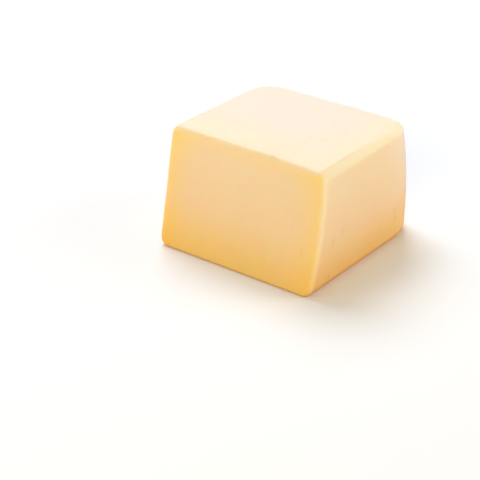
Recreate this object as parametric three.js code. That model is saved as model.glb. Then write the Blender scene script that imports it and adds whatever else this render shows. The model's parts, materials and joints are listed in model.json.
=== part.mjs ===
// A half loaf of mozzarella, standing on its flat underside.
// The loaf was set in a mould, so its long edges are softly rounded or bevelled and its far end has
// round upright corners. One knife cut, leaning back towards the top, made the face at the front.
// Units are millimetres, +Z is up, +X runs to the right across the cut face and +Y runs back
// from the cut to the moulded end. The origin is under the middle of the block.
import * as THREE from "three";
import { mergeGeometries, mergeVertices } from "three/addons/utils/BufferGeometryUtils.js";

// The loaf
const WIDTH = 150; // across the cut, from the left side to the right side
const HEIGHT = 93.3; // mean height
const DEPTH = 115; // along the top, from the cut to the moulded end
const TOP_FALL = 3.9; // drop of the top from the cut to the moulded end
const TOP_DISH = 0.6; // hollow in the middle of the top
const RIGHT_BELLY = 3.1; // swell of the right side at mid height
const RIGHT_FLARE = 0.7; // how far the right side leans out at the top of the cut
const END_BELLY = 1.5; // swell of the moulded end in its middle
const END_DRAFT = 1.2; // how far the foot of the moulded end stands out behind its top
const END_CORNER_RADIUS = 24.5; // upright corners of the moulded end, seen from above

// The cut
const CUT_LEAN = 24.8; // how far its foot stands out in front of its top edge
const CUT_TWIST = 0.5; // how far its right end stands out in front of its middle, at the top
const KNIFE_EDGE = 2.5; // radius of the edge all round it
const KNIFE_DROP = 4.5; // how far that edge reaches down from the top

// The moulded edges: a run is measured inwards from the wall, a rise upwards
const NEAR_TOP_RUN = 6.2; // top edge at the cut
const FAR_TOP_RUN = 8; // top edge at the moulded end
const LEFT_TOP_RISE = 5.2; // top edge on the left
const NEAR_TOP_RISE = 5.4; // top edge on the right, at the cut
const FAR_TOP_RISE = 2.6; // top edge on the right, further back
const CORNER_RISE = 2.6; // how much higher it is at the right corner of the moulded end
const CORNER_CHANGE = 8; // power with which it grows higher there
const FOOT_EDGE_RUN = 6;
const FOOT_EDGE_RISE = 7.6;

// Section of a moulded edge: 2 is an ellipse, 1 a straight chamfer
const TOP_ROUNDNESS = 1.7;
const BEVEL_ROUNDNESS = 1.05; // top edge on the right, at the cut
const BEVEL_CHANGE = 4; // power with which it grows round towards the moulded end
const FOOT_ROUNDNESS = 1.8;

// Gentle unevenness of every face
const SKIN_WAVE = 0.35; // height of a crest
const SKIN_WAVE_LENGTH = 46; // from crest to crest
const CROSSED_WAVES = [ // which way each wave runs, and where it starts
  { along: new THREE.Vector3(1, 0, 0.4), phase: 0.8 },
  { along: new THREE.Vector3(-0.3, 0.9, 0), phase: 2.1 },
  { along: new THREE.Vector3(0, 0.5, 1.1), phase: 4 },
];

// Mesh density
const ACROSS_STEPS = 32; // across the cut, the top and the moulded end
const SIDE_STEPS = 22; // along each side, from the cut to the middle of the round corner
const ARC_STEPS = 6; // on each half of a round corner
const WALL_STEPS = 14; // up the walls
const EDGE_STEPS = 6; // round the top and foot edges
const KNIFE_STEPS = 3; // round the edge of the cut

const QUARTER_TURN = Math.PI / 2;
const lerp = THREE.MathUtils.lerp;

// Points of the walls seen from above, from the right end of the cut back along the right side,
// round the moulded end and forward to the left end of the cut. Each has its outward normal.
function planPath() {
  const half = WIDTH / 2;
  const roundFrom = DEPTH - END_CORNER_RADIUS;
  const path = [];
  const addLine = (x0, y0, x1, y1, steps) => {
    const normal = new THREE.Vector2(y1 - y0, x0 - x1).normalize();
    for (let i = 0; i < steps; i++) {
      path.push({ x: lerp(x0, x1, i / steps), y: lerp(y0, y1, i / steps), normal });
    }
  };
  const addArc = (centreX, fromAngle) => {
    for (let i = 0; i < 2 * ARC_STEPS; i++) {
      const angle = fromAngle + (QUARTER_TURN * i) / (2 * ARC_STEPS);
      const normal = new THREE.Vector2(Math.cos(angle), Math.sin(angle));
      const out = normal.clone().multiplyScalar(END_CORNER_RADIUS);
      path.push({ x: centreX + out.x, y: roundFrom + out.y, normal });
    }
  };
  const cornerX = half - END_CORNER_RADIUS;
  addLine(half, KNIFE_EDGE, half, roundFrom, SIDE_STEPS - ARC_STEPS);
  addArc(cornerX, 0);
  addLine(cornerX, DEPTH, -cornerX, DEPTH, ACROSS_STEPS - 2 * ARC_STEPS);
  addArc(-cornerX, QUARTER_TURN);
  addLine(-half, roundFrom, -half, KNIFE_EDGE, SIDE_STEPS - ARC_STEPS);
  path.push({ x: -half, y: KNIFE_EDGE, normal: path.at(-1).normal });
  return path;
}

// Run, rise and roundness of the top edge at a point of the path. It is a bevel on the right and
// round elsewhere.
function topEdge(x, y) {
  const rightness = 0.5 + x / WIDTH;
  const back = y / DEPTH;
  const rightRise = lerp(NEAR_TOP_RISE, FAR_TOP_RISE, back) + CORNER_RISE * back ** CORNER_CHANGE;
  return {
    run: lerp(NEAR_TOP_RUN, FAR_TOP_RUN, back),
    rise: lerp(LEFT_TOP_RISE, rightRise, rightness),
    roundness: lerp(TOP_ROUNDNESS, BEVEL_ROUNDNESS, rightness * (1 - back ** BEVEL_CHANGE)),
  };
}

// Shares of a moulded edge's run and rise, step by step round it from the wall on: how far in
// from the wall and how far away from the flat face.
function edgeSection(roundness) {
  const power = 2 / roundness;
  return Array.from({ length: EDGE_STEPS + 1 }, (_, step) => {
    const angle = (QUARTER_TURN * step) / EDGE_STEPS;
    return { inwards: 1 - Math.cos(angle) ** power, fromFlat: 1 - Math.sin(angle) ** power };
  });
}

// The wall at one point of the path, from the flat underside up to the flat top.
function wallProfile({ x, y, normal }) {
  const top = topEdge(x, y);
  const wallTop = HEIGHT - top.rise;
  const at = (inset, z) => new THREE.Vector3(x - normal.x * inset, y - normal.y * inset, z);
  const foot = edgeSection(FOOT_ROUNDNESS).reverse().map(({ inwards, fromFlat }) => {
    return at(FOOT_EDGE_RUN * inwards, FOOT_EDGE_RISE * fromFlat);
  });
  const wall = Array.from({ length: WALL_STEPS - 1 }, (_, step) => {
    return at(0, lerp(FOOT_EDGE_RISE, wallTop, (step + 1) / WALL_STEPS));
  });
  const shoulder = edgeSection(top.roundness).map(({ inwards, fromFlat }) => {
    return at(top.run * inwards, HEIGHT - top.rise * fromFlat);
  });
  return [...foot, ...wall, ...shoulder];
}

// Points on a straight line, both ends included.
function line(from, to, steps) {
  return Array.from({ length: steps + 1 }, (_, i) => from.clone().lerp(to, i / steps));
}

// Rows of points of a face stretched between four edges. Near and far run left to right, left
// and right run from near to far.
function stretchedFace({ near, right, far, left }) {
  const blend = (a, b, t) => a.clone().lerp(b, t);
  return left.map((leftPoint, row) => near.map((nearPoint, column) => {
    const u = column / (near.length - 1);
    const v = row / (left.length - 1);
    const lengthwise = blend(nearPoint, far[column], v);
    const crosswise = blend(leftPoint, right[row], u);
    const nearCorners = blend(near[0], near.at(-1), u);
    const farCorners = blend(far[0], far.at(-1), u);
    return lengthwise.add(crosswise).sub(blend(nearCorners, farCorners, v));
  }));
}

// The top or the underside, inside one level of the walls.
function flatFace(level) {
  const endFrom = SIDE_STEPS;
  const endTo = SIDE_STEPS + ACROSS_STEPS;
  return stretchedFace({
    near: line(level.at(-1), level[0], ACROSS_STEPS),
    right: level.slice(0, endFrom + 1),
    far: level.slice(endFrom, endTo + 1).reverse(),
    left: level.slice(endTo).reverse(),
  });
}

// The edges of the cut, drawn in towards its middle round the knife edge: step 0 lies on the
// walls, and the last step on the face of the cut.
function cutEdges(walls, step) {
  const angle = (QUARTER_TURN * step) / KNIFE_STEPS;
  const inwards = 1 - Math.cos(angle);
  const y = KNIFE_EDGE * (1 - Math.sin(angle));
  const drawIn = ({ x, z }) => {
    const across = x / (WIDTH / 2);
    const above = z / (HEIGHT / 2) - 1;
    const drop = above > 0 ? KNIFE_DROP : KNIFE_EDGE;
    return new THREE.Vector3(x - across * KNIFE_EDGE * inwards, y, z - above * drop * inwards);
  };
  const left = walls.map((level) => drawIn(level.at(-1)));
  const right = walls.map((level) => drawIn(level[0]));
  return {
    near: line(left[0], right[0], ACROSS_STEPS),
    right,
    far: line(left.at(-1), right.at(-1), ACROSS_STEPS),
    left,
  };
}

// The edges of a face as one closed row of points, anticlockwise from its near left corner.
function edgeLoop({ near, right, far, left }) {
  return [...near, ...right.slice(1), ...far.toReversed().slice(1), ...left.toReversed().slice(1)];
}

// Gentle unevenness of the cheese, between -1 and 1, from the crossed waves.
function skinWave(p) {
  const turns = (2 * Math.PI) / SKIN_WAVE_LENGTH;
  const waves = CROSSED_WAVES.map(({ along, phase }) => Math.sin(turns * p.dot(along) + phase));
  return waves.reduce((sum, wave) => sum + wave) / waves.length;
}

// Moves a point of the upright block to where the soft cheese has it. The underside stays flat.
function settle(p) {
  const up = p.z / HEIGHT;
  const back = p.y / DEPTH;
  const across = p.x / (WIDTH / 2);
  const belly = 4 * up * (1 - up);
  const midWidth = 1 - across ** 2;
  const midDepth = 1 - (2 * back - 1) ** 2;
  const wave = SKIN_WAVE * skinWave(p) * up;
  const rightShift = RIGHT_BELLY * belly + RIGHT_FLARE * up * (1 - back);
  const sideShift = Math.max(across, 0) * rightShift + across * wave;
  const cutShift = -CUT_LEAN * (1 - up) - CUT_TWIST * up * across - wave;
  const endShift = END_DRAFT * (0.5 - up) + END_BELLY * belly * midWidth + wave;
  const topShift = TOP_FALL * (0.5 - back) - TOP_DISH * midWidth * midDepth + wave;
  return new THREE.Vector3(
    p.x + sideShift,
    p.y + (1 - back) * cutShift + back * endShift,
    p.z + up * topShift,
  );
}

// A patch of quads, each split into two triangles, facing the side from which its rows run up
// and its columns run to the right.
function patch(rows) {
  const columns = rows[0].length;
  const places = rows.flat().flatMap((p) => p.toArray());
  const index = [];
  for (let r = 0; r + 1 < rows.length; r++) {
    for (let c = 0; c + 1 < columns; c++) {
      const a = r * columns + c;
      const b = a + columns;
      index.push(a, a + 1, b + 1, a, b + 1, b);
    }
  }
  const geometry = new THREE.BufferGeometry();
  geometry.setAttribute("position", new THREE.Float32BufferAttribute(places, 3));
  return geometry.setIndex(index);
}

// The whole block as one closed surface with its origin under its middle.
function blockGeometry() {
  const profiles = planPath().map(wallProfile);
  const walls = profiles[0].map((_, level) => profiles.map((profile) => profile[level]));
  const top = flatFace(walls.at(-1));
  const underside = flatFace(walls[0]).map((row) => row.reverse());
  const knifeSteps = Array.from({ length: KNIFE_STEPS + 1 }, (_, step) => cutEdges(walls, step));
  const knifeEdge = knifeSteps.map(edgeLoop);
  const cut = stretchedFace(knifeSteps.at(-1));
  const faces = [walls, top, underside, knifeEdge, cut];
  const patches = faces.map((rows) => patch(rows.map((row) => row.map(settle))));
  const weldDistance = 1e-3;
  const geometry = mergeVertices(mergeGeometries(patches), weldDistance);
  geometry.computeBoundingBox();
  const middle = geometry.boundingBox.getCenter(new THREE.Vector3());
  geometry.translate(-middle.x, -middle.y, 0);
  geometry.computeVertexNormals();
  return geometry;
}

const cheese = new THREE.MeshStandardMaterial({ color: 0xf8dca6, roughness: 0.45, metalness: 0 });

const block = new THREE.Mesh(blockGeometry(), cheese);
block.name = "mozzarella_block";

const part = new THREE.Group();
part.add(block);

export default part;
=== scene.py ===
"""A half loaf of mozzarella with one knife-cut face: its surface, its finish, a studio and a camera."""

import json
from math import pi, radians

import bpy
import numpy as np
from bpy.props import FloatProperty, FloatVectorProperty, PointerProperty
from bpy.types import Operator, Panel, PropertyGroup
from mathutils import Matrix, Vector, noise


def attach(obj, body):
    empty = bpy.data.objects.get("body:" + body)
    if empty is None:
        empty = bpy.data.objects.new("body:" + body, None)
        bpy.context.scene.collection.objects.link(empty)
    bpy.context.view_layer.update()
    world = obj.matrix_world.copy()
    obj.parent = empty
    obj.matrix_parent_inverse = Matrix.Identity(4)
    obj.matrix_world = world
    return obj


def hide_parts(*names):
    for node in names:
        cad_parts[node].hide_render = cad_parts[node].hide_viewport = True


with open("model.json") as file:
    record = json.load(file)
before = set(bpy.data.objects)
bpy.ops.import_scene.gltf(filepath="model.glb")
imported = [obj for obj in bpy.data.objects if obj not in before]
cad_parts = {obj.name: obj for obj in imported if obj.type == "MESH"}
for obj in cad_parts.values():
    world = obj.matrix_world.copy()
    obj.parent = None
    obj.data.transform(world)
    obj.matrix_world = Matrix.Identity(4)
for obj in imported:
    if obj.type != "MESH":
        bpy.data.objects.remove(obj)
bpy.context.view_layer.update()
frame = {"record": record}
BLOCK = frame["record"]["subparts"][0]

bl_info = {
    "name": "Mozzarella Block",
    "version": (1, 0, 0),
    "blender": (4, 5, 0),
    "location": "3D View > Sidebar > Mozzarella",
    "description": "Builds a half loaf of mozzarella with a knife-cut face, and a studio for it",
    "category": "Add Mesh",
}

# Mesh density, about one step for each millimetre
ACROSS_STEPS = 140  # across the cut, the top and the moulded end
SIDE_STEPS = 100  # along each side, from the cut to the middle of the round corner
ARC_STEPS = 20  # on each half of a round corner
WALL_STEPS = 72  # up the walls
EDGE_STEPS = 14  # round the top and foot edges
KNIFE_STEPS = 5  # round the edge of the cut
WELD = 1e-6  # points nearer than this are one point

CORNER_CHANGE = 8  # power with which the top edge grows towards the moulded end
BEVEL_CHANGE = 4  # power with which its bevel grows round towards the moulded end
DROOP_CHANGE = 8  # power with which the droop of the top's near right corner dies out downwards
CROSSED_WAVES = (  # which way each wave of the skin runs, and where it starts
    ((1, 0, 0.4), 0.8),
    ((-0.3, 0.9, 0), 2.1),
    ((0, 0.5, 1.1), 4.0),
)
CREASE_CHANGE = 0.3  # how much the depth of the mould's line changes along it, as a share of it

# Small marks. Places are shares of half the width, of the depth and of the height
SEEN_PITS = (
    (0.80, 0.00, 0.35),
    (1.00, 0.14, 0.40),
    (1.00, 0.22, 0.44),
    (1.00, 0.15, 0.10),
    (1.00, 0.75, 0.31),
    (1.00, 0.76, 0.23),
)
PIT_REACH = (0.0024, 0.0012)  # up and across
PIT_DEPTH = 0.0005
SCATTERED_PITS = 14  # on the left side and the moulded end
SCATTERED_SIZES = (0.5, 1)  # range of their sizes, as shares of that of the seen pits
HIDDEN_FROM = (0.95, 0.97)  # where those sides begin, as shares of half the width and of the depth
PIT_SEED = 7
TOP_DENTS = (  # place, turn of the long way, reach along and across, depth
    ((0.47, 0.43, 1), radians(40), (0.0038, 0.0010), 0.0004),
    ((0.37, 0.32, 1), radians(40), (0.0014, 0.0010), 0.0004),
    ((0.34, 0.01, 0.99), 0, (0.0022, 0.0010), 0.0005),
)
DRAG_SLANT = 0.12  # shift of the knife's lines for each height
DRAG_WAVES = ((0.0113, 0.4), (0.0071, 1.9), (0.0043, 3.3))  # length and phase

# Where the tones of the cheese change, painted light and shade among them
EDGE_CUT_FADE = (0.2, 1.7)  # where the painted highlight of the cut's side edges fades on the cut, in radii
EDGE_WALL_FADE = (0.4, 1.8)  # the same on the walls
LIP_HEIGHT = 0.005  # how far down the cut the painted shade of its top edge reaches
LIP_FADE = (1.2, 3.0)  # where it fades on the top, in radii of the edge
TOP_FADE = (0.2, 1.0)  # where the top's tone fades down the bevel, as shares of its height
TOP_BORDER = 0.060  # how far in from the cut and the right side the top has its full tone
LIT_TOP_BORDER_SHARE = 0.25  # the top's painted paleness at those borders, as a share of that in its middle
END_FADE = (0.5, 1.0)  # where the moulded end's painted paleness grows, as shares of the depth
WARM_BOUNCE_FADE = 0.5  # where the painted warm bounce light at the foot ends, as a share of the height
RIND_CORNER = 0.042  # radius of the round upper corners of the cut's border
RIND_TOP_GAP = 0.014  # how much narrower the border is along the cut's top than at its sides
RIND_THINNING = 0.004  # how much narrower it is at the foot than at the top
MARK_FULL_DEPTH = 0.0003  # a mark this deep has its full painted shade


def length(name, default, description):
    """A size in metres."""
    return FloatProperty(
        name=name, description=description, default=default, unit="LENGTH", precision=5
    )


def share(name, default, description):
    """A plain number."""
    return FloatProperty(name=name, description=description, default=default, precision=3)


def angle(name, default, description):
    """An angle, given in degrees."""
    return FloatProperty(
        name=name, description=description, default=radians(default), subtype="ANGLE"
    )


def colour(name, default, description):
    """A linear colour."""
    return FloatVectorProperty(
        name=name, description=description, default=default, subtype="COLOR", min=0, max=1
    )


def power(name, default, description):
    """A light's power in watts."""
    return FloatProperty(name=name, description=description, default=default, unit="POWER")


class LoafSizes(PropertyGroup):
    """The moulded loaf, its cut and the relief on its faces."""

    width: length("Width", 0.150, "Across the cut, from the left side to the right side")
    height: length("Height", 0.0933, "Mean height")
    depth: length("Depth", 0.115, "Along the top, from the cut to the moulded end")
    top_fall: length("Top fall", 0.0039, "Drop of the top from the cut to the moulded end")
    top_dish: length("Top dish", 0.0006, "Hollow in the middle of the top")
    corner_droop: length("Corner droop", 0.0014, "How far the top hangs at its right end of the cut")
    right_belly: length("Right belly", 0.0031, "Swell of the right side at mid height")
    right_flare: length("Right flare", 0.0007, "How far the right side leans out at the cut's top")
    end_belly: length("End belly", 0.0015, "Swell of the moulded end in its middle")
    end_draft: length("End draft", 0.0012, "How far the end's foot stands out behind its top")
    end_corner: length("End corner", 0.0245, "Radius of the upright corners of the moulded end")
    cut_lean: length("Cut lean", 0.0248, "How far the cut's foot stands out before its top")
    cut_twist: length("Cut twist", 0.0005, "How far the cut's right end stands out, at the top")
    knife_edge: length("Knife edge", 0.0025, "Radius of the edge all round the cut")
    knife_drop: length("Knife drop", 0.0045, "How far that edge reaches down from the top")
    near_top_run: length("Near top run", 0.0062, "Width of the top edge at the cut")
    far_top_run: length("Far top run", 0.008, "Width of the top edge at the moulded end")
    left_top_rise: length("Left top rise", 0.0052, "Height of the top edge on the left")
    near_top_rise: length("Near top rise", 0.0054, "Height of the top edge on the right, at the cut")
    far_top_rise: length("Far top rise", 0.0026, "Height of the top edge on the right, further back")
    corner_rise: length("Corner rise", 0.0026, "How much higher it is at the right corner of the end")
    top_roundness: share("Top roundness", 1.7, "Section of the top edge: 2 an ellipse, 1 a chamfer")
    bevel_roundness: share("Bevel roundness", 1.05, "The same on the right at the cut")
    foot_edge_run: length("Foot edge run", 0.006, "Rounding of the foot edge, inwards")
    foot_edge_rise: length("Foot edge rise", 0.0076, "Rounding of the foot edge, upwards")
    foot_roundness: share("Foot roundness", 1.8, "Section of the foot edge, as for the top")
    skin_wave: length("Skin wave", 0.00035, "Height of the slow unevenness of every face")
    skin_wave_length: length("Skin wave length", 0.046, "From crest to crest")
    swell: length("Swell", 0.00010, "Height of the shorter, irregular unevenness of every face")
    swell_length: length("Swell length", 0.020, "About from crest to crest")
    edge_swell: length("Edge swell", 0.0004, "Height of the unevenness of the top's edges")
    edge_swell_length: length("Edge swell length", 0.009, "About from crest to crest")
    crease_depth: length("Crease depth", 0.0003, "Line that the mould left inside the top edge")
    crease_width: length("Crease width", 0.0015, "Half the width of that line")
    drag_height: length("Drag height", 0.00004, "Height of the lines that the knife drew")


class CheeseLooks(PropertyGroup):
    """Colours of the cheese, some with painted light and shade in them, and how far light goes into it.
    """

    skin: colour("Skin", (0.885, 0.75, 0.53), "Moulded walls")
    # Painted light: the top is painted paler, standing in for the strong light from above
    dry: colour("Dry", (0.89, 0.725, 0.62), "Moulded top, which has dried paler")
    # Painted highlight: the bevel of the top edge is painted paler, for the light that falls on it
    bevel: colour("Bevel", (0.88, 0.768, 0.54), "Bevel of the top edge")
    # Painted light: the moulded end and the back of the sides are painted paler, standing in for cooler
    # light from behind
    end: colour("End", (0.905, 0.815, 0.68), "Moulded end, which is paler than the other walls")
    paste: colour("Paste", (0.895, 0.77, 0.57), "Middle of the cut face")
    # The cut's border is partly yellower cheese and partly painted light, the yellow glow of light
    # scattered in through its edges
    rind_and_glow: colour("Rind", (0.965, 0.755, 0.29), "Border of the cut face, which is yellower")
    # Painted highlight: the edge round the cut is painted paler where it catches the light
    edge: colour("Edge", (0.92, 0.83, 0.66), "Edge round the cut")
    # Painted shade: the edge along the top of the cut is painted a little darker, damping the light it
    # catches
    lip: colour("Lip", (0.935, 0.95, 0.965), "Tint of the edge along the top of the cut")
    # Painted light: the lower walls and cut are tinted warmer, standing in for warm light thrown up
    # from below
    foot: colour("Foot", (1.0, 0.96, 0.55), "Tint of the damper foot, on top of the other colours")
    damp: colour("Damp", (0.89, 0.69, 0.42), "Damper patches")
    # Painted shade: the bottoms of small marks are painted darker
    pit_shade: colour("Pit", (0.945, 0.935, 0.85), "Tint of the bottoms of small marks")
    rind_depth: length("Rind depth", 0.034, "How far the border reaches in from the edge")
    scatter: length("Scatter", 0.006, "How far light goes into the cheese")


class StudioSettings(PropertyGroup):
    """Lights, floor and camera."""

    floor: colour("Floor", (0.86, 0.87, 0.91), "Pale floor")
    glow: colour("Glow", (0.77, 0.275, 0.0), "Warm light that the floor throws back on the block")
    glow_reach: length("Glow reach", 0.20, "How far round the middle the floor does so")
    sky: colour("Sky", (1.0, 0.98, 0.95), "Light from all round")
    sky_strength: share("Sky strength", 0.28, "Brightness of the light from all round")
    key: power("Key", 74.0, "Power of the soft light above, behind and to the left")
    key_colour: colour("Key colour", (0.85, 0.913, 1.0), "Colour of that light")
    front: power("Front fill", 20.5, "Power of the soft light beside the camera")
    front_colour: colour("Front colour", (1.0, 0.85, 0.43), "Colour of that light")
    left: power("Left fill", 1.5, "Power of the soft light on the left of the cut")
    left_colour: colour("Left colour", (1.0, 0.74, 0.45), "Colour of that light")
    right: power("Right fill", 18.4, "Power of the soft light on the right")
    right_colour: colour("Right colour", (1.0, 0.91, 0.75), "Colour of that light")
    lens: share("Lens", 127.87, "Focal length in millimetres")
    azimuth: angle("Azimuth", 41.24, "Turn of the camera to the right of the cut face")
    elevation: angle("Elevation", 28.957, "How far the camera looks down")
    roll: angle("Roll", 3.183, "Turn of the camera about its own line of sight")
    camera_place: FloatVectorProperty(
        name="Camera place",
        description="Where the camera stands",
        default=(0.75156, -0.91804, 0.65413),
        subtype="TRANSLATION",
        precision=5,
    )


# Shape of the loaf, first as an upright block and then settled


def plan_path(loaf):
    """Places and outward normals of the walls seen from above.

    They run from the right end of the cut back along the right side, round the moulded end and
    forward to the left end of the cut.
    """
    near, far = loaf.knife_edge, loaf.depth - loaf.end_corner
    right = loaf.width / 2 - loaf.end_corner
    side_steps = SIDE_STEPS - ARC_STEPS
    legs = (
        ((right, near), (right, far), 0, 0, side_steps),
        ((right, far), (right, far), 0, pi / 2, 2 * ARC_STEPS),
        ((right, far), (-right, far), pi / 2, pi / 2, ACROSS_STEPS - 2 * ARC_STEPS),
        ((-right, far), (-right, far), pi / 2, pi, 2 * ARC_STEPS),
        ((-right, far), (-right, near), pi, pi, side_steps),
    )
    centres = [np.linspace(start, end, steps, endpoint=False) for start, end, _, _, steps in legs]
    turns = [np.linspace(start, end, steps, endpoint=False) for _, _, start, end, steps in legs]
    centres = np.vstack([*centres, (-right, near)])
    turns = np.append(np.concatenate(turns), pi)
    normals = np.column_stack([np.cos(turns), np.sin(turns)])
    return centres + loaf.end_corner * normals, normals


def top_edge(loaf, x, y):
    """Run and rise of the top edge's bevel at places on the walls, seen from above."""
    rightness = 0.5 + x / loaf.width
    back = y / loaf.depth
    run = loaf.near_top_run + (loaf.far_top_run - loaf.near_top_run) * back
    right_rise = loaf.near_top_rise + (loaf.far_top_rise - loaf.near_top_rise) * back
    right_rise = right_rise + loaf.corner_rise * back**CORNER_CHANGE
    return run, loaf.left_top_rise + (right_rise - loaf.left_top_rise) * rightness


def top_section(loaf, x, y):
    """Roundness of the top edge at places on the walls: a bevel on the right, round elsewhere."""
    bevel = (0.5 + x / loaf.width) * (1 - (y / loaf.depth) ** BEVEL_CHANGE)
    return loaf.top_roundness + (loaf.bevel_roundness - loaf.top_roundness) * bevel


def edge_section(roundness):
    """Shares inwards from the wall and away from the flat face, round an edge from the wall on.

    There is a column for each place along the edge.
    """
    turn = np.linspace(0, pi / 2, EDGE_STEPS + 1)[:, None]
    curve = 2 / roundness
    return 1 - np.cos(turn) ** curve, 1 - np.sin(turn) ** curve


def wall_levels(loaf):
    """Rows of wall points, from the edge of the underside up to the edge of the top."""
    places, normals = plan_path(loaf)
    top_run, top_rise = top_edge(loaf, *places.T)
    top_in, top_down = edge_section(top_section(loaf, *places.T))
    foot_in, foot_up = edge_section(np.full(len(places), loaf.foot_roundness))
    climb = np.linspace(0, 1, WALL_STEPS + 1)[1:-1, None]
    wall_height = loaf.height - loaf.foot_edge_rise - top_rise
    inset = np.vstack([
        loaf.foot_edge_run * foot_in[::-1],
        np.zeros((len(climb), len(places))),
        top_run * top_in,
    ])
    height = np.vstack([
        loaf.foot_edge_rise * foot_up[::-1],
        loaf.foot_edge_rise + climb * wall_height,
        loaf.height - top_rise * top_down,
    ])
    return np.dstack([places - normals * inset[..., None], height])


def stretched_face(near, right, far, left):
    """Rows of points of a face stretched between four edges.

    Near and far run left to right, left and right run from near to far.
    """
    u = np.linspace(0, 1, len(near))[None, :, None]
    v = np.linspace(0, 1, len(left))[:, None, None]
    lengthwise = near + (far - near) * v
    crosswise = left[:, None] + (right - left)[:, None] * u
    near_corners = near[0] + (near[-1] - near[0]) * u
    far_corners = far[0] + (far[-1] - far[0]) * u
    return lengthwise + crosswise - near_corners - (far_corners - near_corners) * v


def flat_face(level):
    """The top or the underside, inside one level of the walls."""
    end_from, end_to = SIDE_STEPS, SIDE_STEPS + ACROSS_STEPS
    return stretched_face(
        near=np.linspace(level[-1], level[0], ACROSS_STEPS + 1),
        right=level[: end_from + 1],
        far=level[end_from : end_to + 1][::-1],
        left=level[end_to:][::-1],
    )


def cut_edges(loaf, walls, turn):
    """The edges of the cut, drawn in towards its middle by a turn round the knife edge."""
    inwards = 1 - np.cos(turn)
    y = loaf.knife_edge * (1 - np.sin(turn))

    def drawn_in(edge):
        x, _, z = edge.T
        above = z - loaf.height / 2
        inset = np.where(above > 0, loaf.knife_drop, loaf.knife_edge) * inwards
        x = x * (1 - 2 * loaf.knife_edge * inwards / loaf.width)
        return np.column_stack([x, np.full(len(x), y), z - above * 2 * inset / loaf.height])

    right, left = drawn_in(walls[:, 0]), drawn_in(walls[:, -1])
    return {
        "near": np.linspace(left[0], right[0], ACROSS_STEPS + 1),
        "right": right,
        "far": np.linspace(left[-1], right[-1], ACROSS_STEPS + 1),
        "left": left,
    }


def edge_loop(near, right, far, left):
    """The edges of a face as one closed row of points, anticlockwise from its near left corner."""
    return np.vstack([near, right[1:], far[-2::-1], left[-2::-1]])


def patch_faces(rows, columns, first):
    """Corner numbers of the quads of a patch whose points are numbered from first."""
    corner = first + np.arange(rows * columns).reshape(rows, columns)
    corners = (corner[:-1, :-1], corner[:-1, 1:], corner[1:, 1:], corner[1:, :-1])
    return np.stack(corners, axis=-1).reshape(-1, 4)


def upright_block(loaf):
    """Points and quads of the closed block before the soft cheese settles."""
    walls = wall_levels(loaf)
    turns = np.linspace(0, pi / 2, KNIFE_STEPS + 1)
    knife_steps = [cut_edges(loaf, walls, turn) for turn in turns]
    patches = (
        walls,
        flat_face(walls[-1]),
        flat_face(walls[0])[:, ::-1],
        np.stack([edge_loop(**edges) for edges in knife_steps]),
        stretched_face(**knife_steps[-1]),
    )
    points = np.vstack([patch.reshape(-1, 3) for patch in patches])
    firsts = np.cumsum([0] + [patch.shape[0] * patch.shape[1] for patch in patches])
    quads = np.vstack([
        patch_faces(*patch.shape[:2], first) for patch, first in zip(patches, firsts)
    ])
    _, kept, number = np.unique(
        np.round(points / WELD).astype(np.int64), axis=0, return_index=True, return_inverse=True
    )
    return points[kept], number.reshape(-1)[quads]


def crossed_waves(points, wave_length):
    """Gentle unevenness, between -1 and 1, from the crossed waves."""
    turns = 2 * pi / wave_length * points
    waves = [np.sin(turns @ along + phase) for along, phase in CROSSED_WAVES]
    return sum(waves) / len(waves)


def irregular_swell(points, wave_length):
    """Irregular unevenness, between -1 and 1."""
    return np.array([noise.noise(place) for place in (points / wave_length).tolist()])


def settle(loaf, points):
    """Moves the points of the upright block to where the soft cheese has them."""
    x, y, z = points.T
    up, back, across = z / loaf.height, y / loaf.depth, 2 * x / loaf.width
    belly = 4 * up * (1 - up)
    mid_width = 1 - across**2
    mid_depth = 1 - (2 * back - 1) ** 2
    wave = loaf.skin_wave * crossed_waves(points, loaf.skin_wave_length) * up
    right_shift = loaf.right_belly * belly + loaf.right_flare * up * (1 - back)
    side_shift = np.maximum(across, 0) * right_shift + across * wave
    cut_shift = -loaf.cut_lean * (1 - up) - loaf.cut_twist * up * across - wave
    end_shift = loaf.end_draft * (0.5 - up) + loaf.end_belly * belly * mid_width + wave
    top_shift = loaf.top_fall * (0.5 - back) - loaf.top_dish * mid_width * mid_depth + wave
    near_right = np.maximum(across, 0) ** 2 * (1 - back) ** 2
    top_shift = top_shift - loaf.corner_droop * near_right * up**DROOP_CHANGE
    return np.column_stack([
        x + side_shift,
        y + (1 - back) * cut_shift + back * end_shift,
        z + up * top_shift,
    ])


def smooth_step(low, high, value):
    """0 below low, 1 above high and a soft step between."""
    t = np.clip((value - low) / (high - low), 0, 1)
    return t * t * (3 - 2 * t)


def rounded_inset(away, radius):
    """How far inside an outline with round corners places lie.

    Each place is given by how far it is beyond the centre of the nearest corner, each way.
    """
    beyond = np.linalg.norm(np.maximum(away, 0), axis=1) + np.minimum(away.max(axis=1), 0)
    return radius - beyond


def cut_share(loaf, points):
    """1 on the cut face, 0 on the moulded skin and even round the edge between them."""
    return np.arcsin(1 - np.clip(points[:, 1] / loaf.knife_edge, 0, 1)) / (pi / 2)


def knife_edge_highlight_share(loaf, points):
    """Share of the painted highlight on the edge down each side of the cut: 1 on that edge, fading on
    the cut and on the walls.
    """
    inset = loaf.width / 2 - np.abs(points[:, 0])
    onto_cut = smooth_step(*EDGE_CUT_FADE, inset / loaf.knife_edge)
    onto_wall = smooth_step(*EDGE_WALL_FADE, points[:, 1] / loaf.knife_edge)
    return (1 - onto_cut) * (1 - onto_wall)


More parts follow.
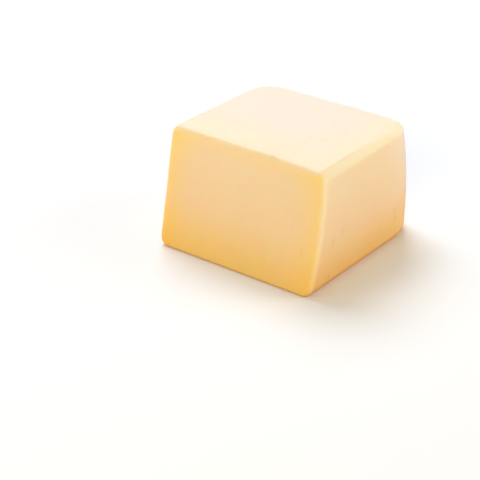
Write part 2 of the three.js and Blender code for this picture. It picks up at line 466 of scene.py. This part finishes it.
def lip_share(loaf, points):
    """1 on the edge along the top of the cut, and 0 off it."""
    _, y, z = points.T
    off_cut = smooth_step(loaf.height - LIP_HEIGHT, loaf.height, z)
    onto_top = smooth_step(*LIP_FADE, y / loaf.knife_edge)
    return off_cut * (1 - onto_top)


def bevel_drop(loaf, points):
    """How far below the top a point lies, for the height of the bevel there."""
    x, y, z = points.T
    _, rise = top_edge(loaf, x, y)
    return (loaf.height - z) / rise


def lit_top_share(loaf, points):
    """Share of the painted light on the top: 1 on most of the top, less towards the cut and the right
    side and 0 below its bevel.
    """
    x, y, _ = points.T
    middle = smooth_step(0, TOP_BORDER, np.minimum(loaf.width / 2 - x, y))
    top = 1 - smooth_step(*TOP_FADE, bevel_drop(loaf, points))
    return top * (LIT_TOP_BORDER_SHARE + (1 - LIT_TOP_BORDER_SHARE) * middle)


def bevel_share(loaf, points):
    """1 half way down the top edge's bevel, and 0 off it."""
    drop = np.clip(bevel_drop(loaf, points), 0, 1)
    return 4 * drop * (1 - drop) * (1 - cut_share(loaf, points))


def end_share(loaf, points):
    """Share of the painted light on the moulded end: 1 at the moulded end, less along the sides towards
    the cut and 0 on the top.
    """
    wall = smooth_step(*TOP_FADE, bevel_drop(loaf, points))
    return wall * smooth_step(*END_FADE, points[:, 1] / loaf.depth)


def warm_bounce_share(loaf, points):
    """Share of the painted warm bounce light: 1 at the foot, and 0 further up."""
    return 1 - smooth_step(0, WARM_BOUNCE_FADE * loaf.height, points[:, 2])


def rim_inset(loaf, points):
    """How far in from the sides and the top of the cut's border a point of the cut lies."""
    x, _, z = points.T
    outline = (loaf.width / 2 - RIND_CORNER, loaf.height + RIND_TOP_GAP - RIND_CORNER)
    inset = rounded_inset(np.column_stack([np.abs(x), z]) - outline, RIND_CORNER)
    return inset + RIND_THINNING * (1 - z / loaf.height)


def mould_crease(loaf, points):
    """The shallow line that the mould left round the top, along the inside of the edge."""
    x, y, z = points.T
    radius = loaf.end_corner
    corner = (loaf.width / 2 - radius, loaf.depth - radius)
    inset = rounded_inset(np.column_stack([np.abs(x), y]) - corner, radius)
    run, _ = top_edge(loaf, x, y)
    line = np.exp(-(((inset - run) / loaf.crease_width) ** 2)) * (z > loaf.height / 2)
    waves = crossed_waves(points, loaf.skin_wave_length)
    return -loaf.crease_depth * line * (1 - CREASE_CHANGE + CREASE_CHANGE * waves)


def uneven_edges(loaf, points):
    """Unevenness of the top's edges, all round, which makes their borders wander a little."""
    swell = irregular_swell(points, loaf.edge_swell_length)
    return loaf.edge_swell * (bevel_share(loaf, points) + lip_share(loaf, points)) * swell


def knife_drag(loaf, points):
    """Faint lines that the knife drew down the cut, a little aslant."""
    x, _, z = points.T
    lines = [np.sin(2 * pi * (x + DRAG_SLANT * z) / wave + phase) for wave, phase in DRAG_WAVES]
    return loaf.drag_height * sum(lines) / len(lines) * cut_share(loaf, points)


def dent(points, place, along, reach, depth):
    """A soft hollow about a place, reaching further along one direction than across it."""
    away = points - place
    lengthwise = away @ along
    across = np.sum(away**2, axis=1) - lengthwise**2
    return -depth * np.exp(-((lengthwise / reach[0]) ** 2) - across / reach[1] ** 2)


def small_marks(loaf, points):
    """Pits in the walls and the cut, two small dents in the top and a nick in its edge."""
    size = np.array([loaf.width / 2, loaf.depth, loaf.height])
    on_left = points[:, 0] < -HIDDEN_FROM[0] * size[0]
    on_end = points[:, 1] > HIDDEN_FROM[1] * size[1]
    hidden = points[on_left | on_end]
    draw = np.random.default_rng(PIT_SEED)
    scattered = hidden[draw.choice(len(hidden), SCATTERED_PITS, replace=False)]
    scales = np.append(np.ones(len(SEEN_PITS)), draw.uniform(*SCATTERED_SIZES, SCATTERED_PITS))
    upright = np.array([0, 0, 1])
    marks = np.zeros(len(points))
    for place, scale in zip(np.vstack([np.array(SEEN_PITS) * size, scattered]), scales):
        marks += dent(points, place, upright, np.array(PIT_REACH) * scale, PIT_DEPTH * scale)
    for shares, turn, reach, depth in TOP_DENTS:
        along = np.array([np.cos(turn), np.sin(turn), 0])
        marks += dent(points, np.array(shares) * size, along, reach, depth)
    return marks


def relief(loaf, points, marks):
    """Height of all fine relief over the settled faces. It dies out at the flat underside."""
    swell = loaf.swell * irregular_swell(points, loaf.swell_length) + uneven_edges(loaf, points)
    lines = mould_crease(loaf, points) + knife_drag(loaf, points)
    return (swell + lines + marks) * smooth_step(0, loaf.foot_edge_rise, points[:, 2])


def vertex_normals(places, quads):
    """Unit normals at the points of a mesh of quads."""
    corners = places[quads]
    facing = np.cross(corners[:, 2] - corners[:, 0], corners[:, 3] - corners[:, 1])
    normals = np.zeros_like(places)
    for corner in range(4):
        np.add.at(normals, quads[:, corner], facing)
    return normals / np.linalg.norm(normals, axis=1, keepdims=True)


def block_mesh(loaf):
    """The settled block as a mesh, with its origin under its middle."""
    upright, quads = upright_block(loaf)
    places = settle(loaf, upright)
    places[:, :2] -= (places.min(axis=0) + places.max(axis=0))[:2] / 2
    marks = small_marks(loaf, upright)
    places += vertex_normals(places, quads) * relief(loaf, upright, marks)[:, None]
    mesh = bpy.data.meshes.new("mozzarella")
    mesh.from_pydata(places.tolist(), [], quads.tolist())
    for name, values in (
        ("cut", cut_share(loaf, upright)),
        ("edge", knife_edge_highlight_share(loaf, upright)),
        ("lip", lip_share(loaf, upright)),
        ("dry", lit_top_share(loaf, upright)),
        ("bevel", bevel_share(loaf, upright)),
        ("end", end_share(loaf, upright)),
        ("foot", warm_bounce_share(loaf, upright)),
        ("rim", rim_inset(loaf, upright)),
        ("mark", np.clip(-marks / MARK_FULL_DEPTH, 0, 1)),
    ):
        mesh.attributes.new(name, "FLOAT", "POINT").data.foreach_set("value", values)
    mesh.shade_smooth()
    mesh.validate()
    return mesh


# Finish of the cheese


CLOUD = {"size": 0.030, "detail": 3}  # wide, soft changes
CURD = {"size": 0.004, "detail": 3}
GRAIN = {"size": 0.0008, "detail": 2}
RIND_START = -0.010  # where the border of the cut starts to fade, in from its outline
RIND_WANDER = 0.010  # how far that border wanders
EDGE_HIGHLIGHT_STRENGTH = 0.8  # how much of its painted highlight the edge round the cut has
EDGE_BOUNCE_LOSS = 0.5  # how much of the painted warm bounce at the foot that edge goes without
PATCH_SHARES = (0.6, 0.4)  # of the cloud and of the curd, in the damper patches
PATCH_RANGE = (0.42, 0.68)  # where a damper patch begins, and where it is full
PATCH_STRENGTH = 0.2  # how much of their own colour the damper patches have
PATCH_LIT_TOP_LOSS = 0.1  # how much less they have on the top, which is painted paler for the light from above
PATCH_SMOOTHNESS = 0.12  # how much less rough they are
PATCH_COAT = 0.06  # the moist film on them
ROUGHNESS = 0.58
GRAIN_ROUGHNESS = 0.08  # how much the roughness changes with the grain
RELIEF_SHARES = (0.7, 0.3)  # of the curd and of the grain, in the finest relief
RELIEF_STRENGTH = 0.25
RELIEF_HEIGHT = 0.0002


class Field:
    """A number that varies over a surface. Arithmetic on it adds Math nodes."""

    def __init__(self, finish, socket):
        self.finish = finish
        self.socket = socket

    def math(self, operation, *values):
        """A Math node of that operation on the given values."""
        node = self.finish.add("Math", {"operation": operation}, dict(enumerate(values)))
        return Field(self.finish, node.outputs[0])

    def __add__(self, other):
        return self.math("ADD", self, other)

    def __sub__(self, other):
        return self.math("SUBTRACT", self, other)

    def __rsub__(self, other):
        return self.math("SUBTRACT", other, self)

    def __mul__(self, other):
        return self.math("MULTIPLY", self, other)

    __radd__ = __add__
    __rmul__ = __mul__


class Finish:
    """A material under construction."""

    def __init__(self, name):
        self.material = bpy.data.materials.new(name)
        self.material.use_nodes = True
        self.tree = self.material.node_tree
        self.tree.nodes.clear()

    def add(self, kind, settings, sockets):
        """A node of that kind, with its settings made first and then its sockets set or linked."""
        node = self.tree.nodes.new("ShaderNode" + kind)
        for name, value in settings.items():
            setattr(node, name, value)
        for name, value in sockets.items():
            if isinstance(value, Field):
                value = value.socket
            if isinstance(value, bpy.types.NodeSocket):
                self.tree.links.new(value, node.inputs[name])
            else:
                node.inputs[name].default_value = value
        return node

    def field(self, kind, settings, sockets, output):
        """One output of a new node, as a number."""
        return Field(self, self.add(kind, settings, sockets).outputs[output])

    def attribute(self, name):
        """A number stored on the mesh's points."""
        return self.field("Attribute", {"attribute_name": name}, {}, "Fac")

    def noise(self, place, size, detail):
        """Noise from 0 to 1 whose features are about size metres across."""
        sockets = {"Vector": place, "Scale": 1 / size, "Detail": detail}
        return self.field("TexNoise", {"noise_dimensions": "3D"}, sockets, "Fac")

    def step(self, value, low, high):
        """0 where value is below low, 1 where it is above high and a soft step between."""
        settings = {"interpolation_type": "SMOOTHSTEP"}
        sockets = {"Value": value, "From Min": low, "From Max": high}
        return self.field("MapRange", settings, sockets, "Result")

    def mix(self, amount, first, second, blend="MIX"):
        """A colour between two, by an amount from 0 to 1, or the first tinted by the second."""
        settings = {"data_type": "RGBA", "blend_type": blend}
        node = self.add("Mix", settings, {"Factor": amount})
        for name, value in (("A", first), ("B", second)):
            socket = next(s for s in node.inputs if s.name == name and s.type == "RGBA")
            if isinstance(value, bpy.types.NodeSocket):
                self.tree.links.new(value, socket)
            else:
                socket.default_value = (*value, 1)
        return next(s for s in node.outputs if s.type == "RGBA")


def cheese_finish(looks):
    """Smooth, slightly moist cheese that lets light in, paler on its skin than on the cut. Its colour
    holds painted light and shade: a paler top, bevel and end, a highlight round the cut, shade on its
    top edge and in its marks, and warm bounce light at the foot.
    """
    finish = Finish("cheese")
    place = finish.add("TexCoord", {}, {}).outputs["Object"]
    cut, rim, edge, lip = map(finish.attribute, ("cut", "rim", "edge", "lip"))
    dry, bevel, end = map(finish.attribute, ("dry", "bevel", "end"))
    foot, mark = map(finish.attribute, ("foot", "mark"))
    cloud = finish.noise(place, **CLOUD)
    curd = finish.noise(place, **CURD)
    grain = finish.noise(place, **GRAIN)
    # Yellower border of the cut, partly its own colour and partly painted glow of scattered light
    border = 1 - finish.step(rim + (cloud - 0.5) * RIND_WANDER, RIND_START, looks.rind_depth)
    paste = finish.mix(border * (1 - lip), looks.paste, looks.rind_and_glow)
    # The moulded end is painted paler for the light from behind
    # The top is painted paler for the light from above
    skin = finish.mix(dry, finish.mix(end, looks.skin, looks.end), looks.dry)
    # Painted highlight on the bevel of the top edge
    skin = finish.mix(bevel, skin, looks.bevel)
    # Painted highlight on the edge round the cut
    base = finish.mix(edge * EDGE_HIGHLIGHT_STRENGTH, finish.mix(cut, skin, paste), looks.edge)
    # Painted shade along the top edge of the cut
    base = finish.mix(lip, base, looks.lip, "MULTIPLY")
    # Painted warm bounce light at the foot, weaker on the edge's painted highlight
    base = finish.mix(foot * (1 - edge * EDGE_BOUNCE_LOSS), base, looks.foot, "MULTIPLY")
    patches = finish.step(cloud * PATCH_SHARES[0] + curd * PATCH_SHARES[1], *PATCH_RANGE)
    base = finish.mix(patches * (PATCH_STRENGTH - dry * PATCH_LIT_TOP_LOSS), base, looks.damp)
    # Painted shade in the pits and dents
    base = finish.mix(mark, base, looks.pit_shade, "MULTIPLY")
    roughness = ROUGHNESS - patches * PATCH_SMOOTHNESS + (grain - 0.5) * GRAIN_ROUGHNESS
    bump = finish.add("Bump", {}, {
        "Strength": RELIEF_STRENGTH,
        "Distance": RELIEF_HEIGHT,
        "Height": curd * RELIEF_SHARES[0] + grain * RELIEF_SHARES[1],
    })
    shader = finish.add("BsdfPrincipled", {"subsurface_method": "RANDOM_WALK"}, {
        "Base Color": base,
        "Roughness": roughness,
        "Coat Weight": patches * PATCH_COAT,
        "Coat Roughness": 0.35,
        "Normal": bump.outputs["Normal"],
        "IOR": 1.45,
        "Specular IOR Level": 0.35,
        "Subsurface Weight": 1.0,
        "Subsurface Radius": (1.0, 0.65, 0.3),
        "Subsurface Scale": looks.scatter,
    })
    finish.add("OutputMaterial", {}, {"Surface": shader.outputs["BSDF"]})
    return finish.material


class MOZZARELLA_OT_block(Operator):
    """Build the block of cheese in place of the plain solid"""

    bl_idname = "mozzarella.block"
    bl_label = "Mozzarella block"

    def execute(self, context):
        scene = context.scene
        mesh = block_mesh(scene.mozzarella_loaf)
        mesh.materials.append(cheese_finish(scene.mozzarella_looks))
        block = bpy.data.objects.new("mozzarella", mesh)
        scene.collection.objects.link(block)
        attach(block, "root")
        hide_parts(BLOCK["node"])
        return {"FINISHED"}


# Studio


LAMPS = {  # place and size of each soft light
    "key": ((-1.4, 1.0, 2.35), 1.8),
    "front": ((1.1, -1.9, 1.05), 1.2),
    "left": ((-0.4, -0.65, 0.4), 0.45),
    "right": ((1.7, 1.1, 0.95), 1.2),
}
LIT_PLACE = (0, 0, 0.05)  # what the lights face
FLOOR_RADIUS = 8
FLOOR_CORNERS = 96
GLOW_FADE = (0.9, 1.1)  # where the floor's warm light fades, as shares of its reach


def soft_light(scene, name, place, size, watts, tint):
    """A square soft light that faces the block and isn't seen itself."""
    light = bpy.data.lights.new(name, "AREA")
    light.size = size
    light.energy = watts
    light.color = tint
    lamp = bpy.data.objects.new(name, light)
    lamp.location = place
    sight = Vector(LIT_PLACE) - Vector(place)
    lamp.rotation_euler = sight.to_track_quat("-Z", "Y").to_euler()
    lamp.visible_camera = False
    scene.collection.objects.link(lamp)


def floor_finish(studio):
    """A plain matt pale floor that throws a warm light back on what stands on it."""
    finish = Finish("pale_floor")
    place = finish.add("TexCoord", {}, {}).outputs["Object"]
    distance = finish.field("VectorMath", {"operation": "LENGTH"}, {0: place}, "Value")
    beside = 1 - finish.step(distance, *(fade * studio.glow_reach for fade in GLOW_FADE))
    seen = finish.field("LightPath", {}, {}, "Is Camera Ray")
    tint = finish.mix(beside * (1 - seen), studio.floor, studio.glow)
    shader = finish.add("BsdfPrincipled", {}, {"Base Color": tint, "Roughness": 0.8})
    finish.add("OutputMaterial", {}, {"Surface": shader.outputs["BSDF"]})
    return finish.material


def pale_floor(scene, studio):
    """A wide round floor under the block."""
    turns = np.linspace(0, 2 * pi, FLOOR_CORNERS, endpoint=False)
    ring = FLOOR_RADIUS * np.column_stack([np.cos(turns), np.sin(turns), np.zeros(len(turns))])
    mesh = bpy.data.meshes.new("floor")
    mesh.from_pydata(ring.tolist(), [], [list(range(len(ring)))])
    mesh.materials.append(floor_finish(studio))
    floor = bpy.data.objects.new("floor", mesh)
    scene.collection.objects.link(floor)


def even_sky(scene, tint, strength):
    """The same light from every side."""
    world = bpy.data.worlds.new("studio")
    world.use_nodes = True
    background = world.node_tree.nodes["Background"]
    background.inputs["Color"].default_value = (*tint, 1)
    background.inputs["Strength"].default_value = strength
    scene.world = world


def photo_camera(scene, studio):
    """The camera at the viewing angle of the photograph."""
    data = bpy.data.cameras.new("camera")
    data.lens = studio.lens
    camera = bpy.data.objects.new("camera", data)
    turn = Matrix.Rotation(studio.azimuth, 4, "Z")
    tilt = Matrix.Rotation(pi / 2 - studio.elevation, 4, "X")
    roll = Matrix.Rotation(-studio.roll, 4, "Z")
    camera.matrix_world = Matrix.Translation(studio.camera_place) @ turn @ tilt @ roll
    scene.collection.objects.link(camera)
    scene.camera = camera


class MOZZARELLA_OT_studio(Operator):
    """Set up the pale floor, the soft lights and the camera"""

    bl_idname = "mozzarella.studio"
    bl_label = "Studio"

    def execute(self, context):
        scene = context.scene
        studio = scene.mozzarella_studio
        pale_floor(scene, studio)
        even_sky(scene, studio.sky, studio.sky_strength)
        for name, (place, size) in LAMPS.items():
            watts, tint = getattr(studio, name), getattr(studio, name + "_colour")
            soft_light(scene, name, place, size, watts, tint)
        photo_camera(scene, studio)
        scene.view_settings.view_transform = "Standard"
        return {"FINISHED"}


class MOZZARELLA_PT_panel(Panel):
    """Sizes, colours and studio of the mozzarella block"""

    bl_idname = "MOZZARELLA_PT_panel"
    bl_label = "Mozzarella"
    bl_space_type = "VIEW_3D"
    bl_region_type = "UI"
    bl_category = "Mozzarella"

    def draw(self, context):
        scene = context.scene
        for operator, groups in (
            (MOZZARELLA_OT_block, (scene.mozzarella_loaf, scene.mozzarella_looks)),
            (MOZZARELLA_OT_studio, (scene.mozzarella_studio,)),
        ):
            self.layout.operator(operator.bl_idname)
            for group in groups:
                for name in group.__annotations__:
                    self.layout.prop(group, name)


GROUPS = {
    "mozzarella_loaf": LoafSizes,
    "mozzarella_looks": CheeseLooks,
    "mozzarella_studio": StudioSettings,
}
CLASSES = (*GROUPS.values(), MOZZARELLA_OT_block, MOZZARELLA_OT_studio, MOZZARELLA_PT_panel)


def register():
    for cls in CLASSES:
        bpy.utils.register_class(cls)
    for name, group in GROUPS.items():
        setattr(bpy.types.Scene, name, PointerProperty(type=group))


def unregister():
    for name in GROUPS:
        delattr(bpy.types.Scene, name)
    for cls in reversed(CLASSES):
        bpy.utils.unregister_class(cls)


def main():
    register()
    bpy.ops.mozzarella.block()
    bpy.ops.mozzarella.studio()


if __name__ == "__main__":
    main()
